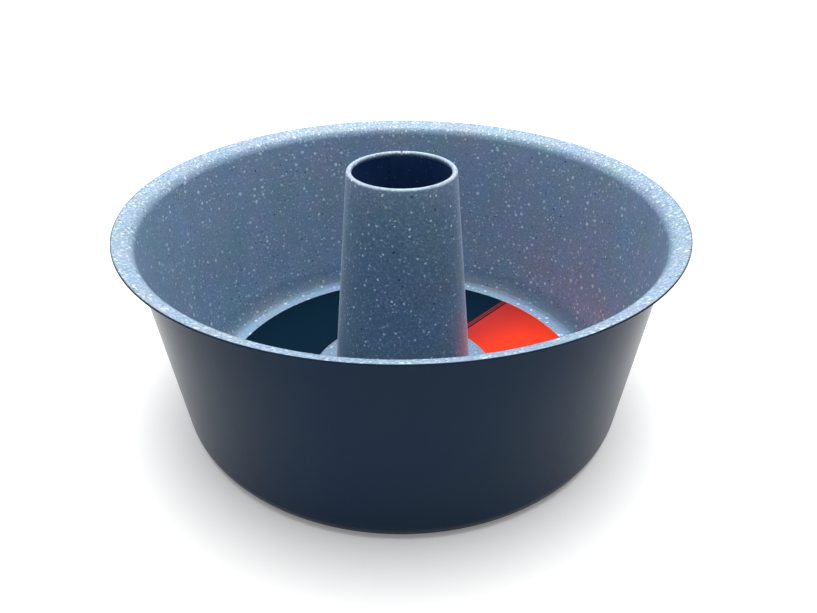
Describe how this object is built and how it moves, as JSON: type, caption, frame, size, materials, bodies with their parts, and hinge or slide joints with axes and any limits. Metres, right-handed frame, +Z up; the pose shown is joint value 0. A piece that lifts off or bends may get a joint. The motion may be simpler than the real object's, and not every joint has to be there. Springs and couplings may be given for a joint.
{
  "type": "angel food cake pan",
  "caption": "Deep round steel cake pan with sloping wall, flared rim and a tall tapered open tube in the middle, and a loose ring of printed card on its floor.",
  "frame": {"origin": "on the table, under the middle of the pan", "axes": "+Z up along the pan's axis; the tube's lap seam is towards +Y"},
  "size_m": [0.254, 0.254, 0.1164],
  "materials": {
    "pan_coating": "satin non-stick, speckled grey inside and near-black outside",
    "tube_coating": "satin non-stick, speckled grey outside and near-black in the bore",
    "printed_card": "smooth printed card"
  },
  "bodies": {
    "pan": {"pan_body": "pan_coating", "centre_tube": "tube_coating"},
    "card": {"card_ring": "printed_card"}
  },
  "joints": [
    {"name": "card_lift", "type": "slide", "parent": "pan", "child": "card", "axis": [0, 0, 1], "range_m": [0, 0.13]}
  ]
}
